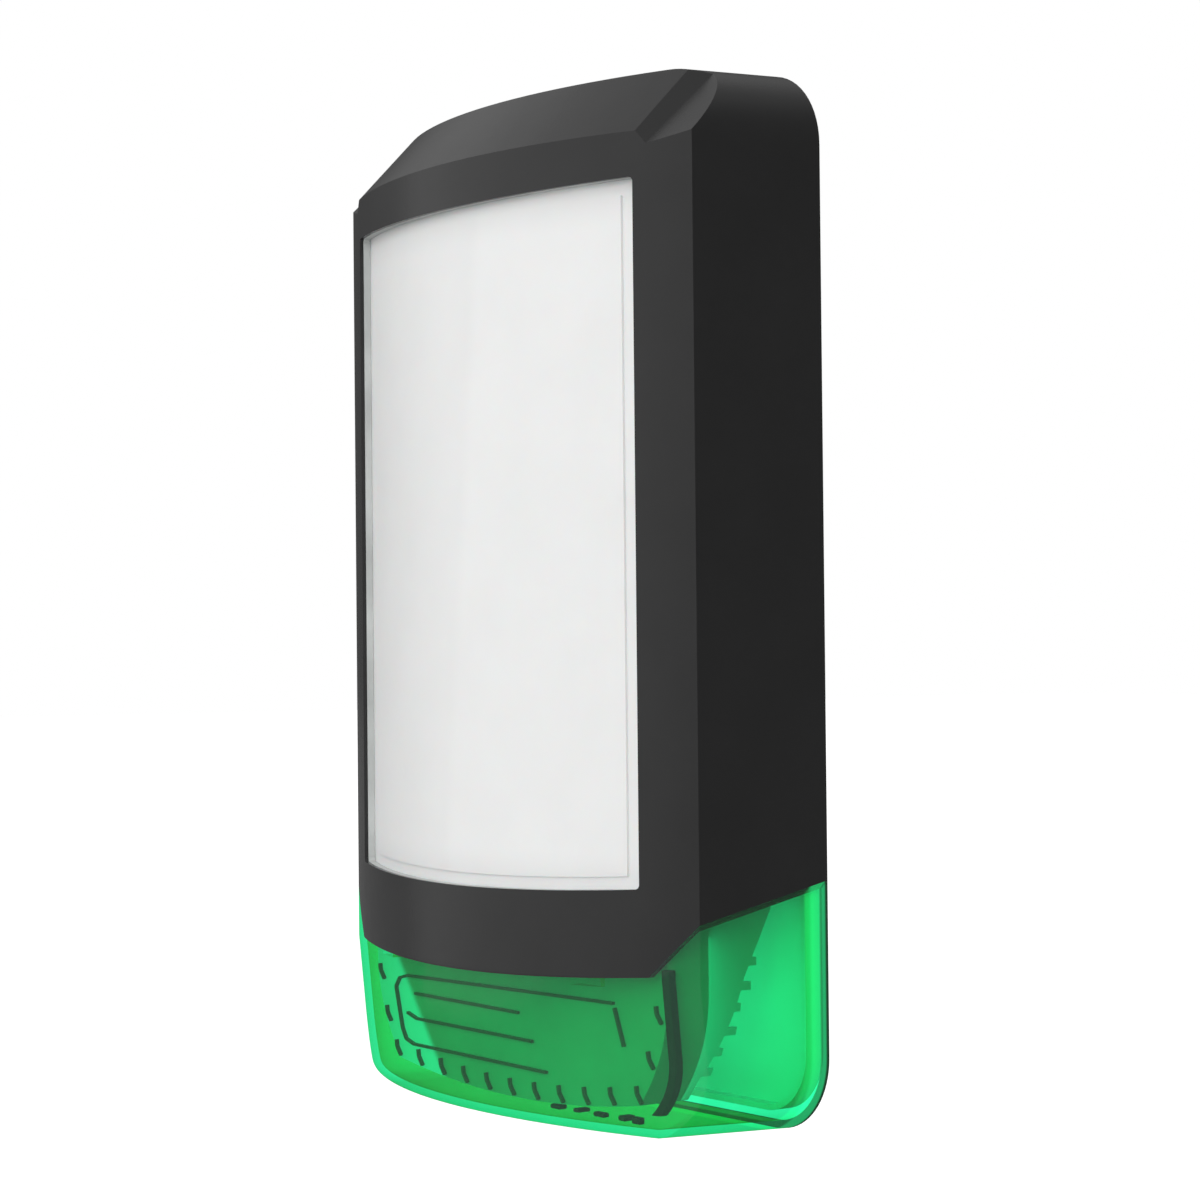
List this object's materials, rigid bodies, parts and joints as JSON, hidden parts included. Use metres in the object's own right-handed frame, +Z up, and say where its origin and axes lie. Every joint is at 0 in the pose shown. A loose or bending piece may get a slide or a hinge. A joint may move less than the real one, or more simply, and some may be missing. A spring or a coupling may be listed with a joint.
{
  "type": "external alarm sounder",
  "caption": "Wall-mounted alarm sounder and strobe: curved black cover with an opal lit panel and a clear green lens, hinged at the top over board, horn, battery and tamper switches.",
  "frame": {"origin": "middle of the case outline on the wall face, the back of the back plate", "axes": "+Z up, +Y into the wall, so the front looks along -Y; +X is right of someone facing the front"},
  "size_m": [0.202, 0.0765, 0.3356],
  "materials": {
    "black_case": "satin moulded polycarbonate with a fine spark texture",
    "opal_panel": "satin opal acrylic",
    "green_lens": "clear green polycarbonate, polished",
    "seal_rubber": "soft grey sealing foam",
    "white_plastic": "satin white moulded plastic",
    "grey_plastic": "satin grey moulded plastic",
    "slate_plastic": "matt dark grey moulded plastic",
    "black_plastic": "matt black moulded plastic",
    "circuit_green": "solder mask over glass-fibre board",
    "white_board": "white solder mask",
    "chip_black": "moulded epoxy",
    "led_lens": "yellow phosphor under clear resin",
    "steel": "zinc-plated steel",
    "stainless": "stainless steel",
    "brass": "rolled brass",
    "terminal_blue": "moulded nylon",
    "cell_wrap": "shrink sleeve",
    "capacitor_sleeve": "shrink sleeve on aluminium can",
    "vial_fluid": "clear vial with tinted spirit",
    "grommet_rubber": "moulded rubber"
  },
  "bodies": {
    "base": {"back_plate": "white_plastic", "hinge_brackets": "black_plastic", "bracket_screws": "steel", "hinge_pins": "stainless", "cable_grommet": "grommet_rubber", "level_holder": "black_plastic", "level_vial": "vial_fluid", "circuit_board": "circuit_green", "board_screws": "steel", "terminal_block": "terminal_blue", "terminal_screws": "steel", "board_chips": "chip_black", "capacitors": "capacitor_sleeve", "sounder_chamber": "black_plastic", "sounder_grille": "black_plastic", "piezo_disc": "brass", "piezo_holder": "grey_plastic", "battery_cells": "cell_wrap", "battery_tabs": "steel", "battery_cradle": "grey_plastic", "battery_strap": "white_plastic", "cover_tamper_switch": "chip_black", "wall_tamper_switch": "chip_black", "cover_tamper_spring": "steel", "wall_tamper_spring": "steel"},
    "cover": {"cover": "black_case", "lens": "green_lens", "panel": "opal_panel", "panel_seal": "seal_rubber", "backlight_tray": "white_plastic", "backlight_boards": "white_board", "backlight_leds": "led_lens", "tray_screws": "steel", "lens_screws": "steel", "lens_rib": "black_plastic", "cover_nut": "brass", "strobe_housing": "grey_plastic", "housing_screws": "steel", "reflector_ridges": "slate_plastic", "reflector_teeth": "slate_plastic", "strobe_board": "white_board", "strobe_leds": "led_lens", "strobe_brackets": "white_plastic"},
    "screw_washer": {"screw_washer": "stainless"},
    "cover_screw": {"cover_screw": "stainless"},
    "cover_tamper_plunger": {"cover_tamper_plunger": "grey_plastic"},
    "wall_tamper_plunger": {"wall_tamper_plunger": "grey_plastic"}
  },
  "joints": [
    {"name": "cover_hinge", "type": "hinge", "parent": "base", "child": "cover", "pos_m": [0, -0.024, 0.15955], "axis": [-1, 0, 0], "range_deg": [0, 85]},
    {"name": "cover_screw_slide", "type": "slide", "parent": "cover", "child": "screw_washer", "axis": [0, 0, 1], "range_m": [-0.0021, 0]},
    {"name": "cover_screw_turn", "type": "hinge", "parent": "screw_washer", "child": "cover_screw", "pos_m": [0, -0.016, -0.165], "axis": [0, 0, 1], "range_deg": [-1081, 0]},
    {"name": "cover_tamper_press", "type": "slide", "parent": "base", "child": "cover_tamper_plunger", "axis": [0, 1, 0], "range_m": [0, 0.0015], "stiffness_N_per_m": 150, "springref_m": -0.002, "deforming": ["cover_tamper_spring"]},
    {"name": "wall_tamper_press", "type": "slide", "parent": "base", "child": "wall_tamper_plunger", "axis": [0, -1, 0], "range_m": [0, 0.0012], "stiffness_N_per_m": 150, "springref_m": -0.002, "deforming": ["wall_tamper_spring"]}
  ],
  "couplings": [
    {"joint": "cover_screw_turn", "follows": "cover_screw_slide", "rad_per_m": 8976}
  ]
}
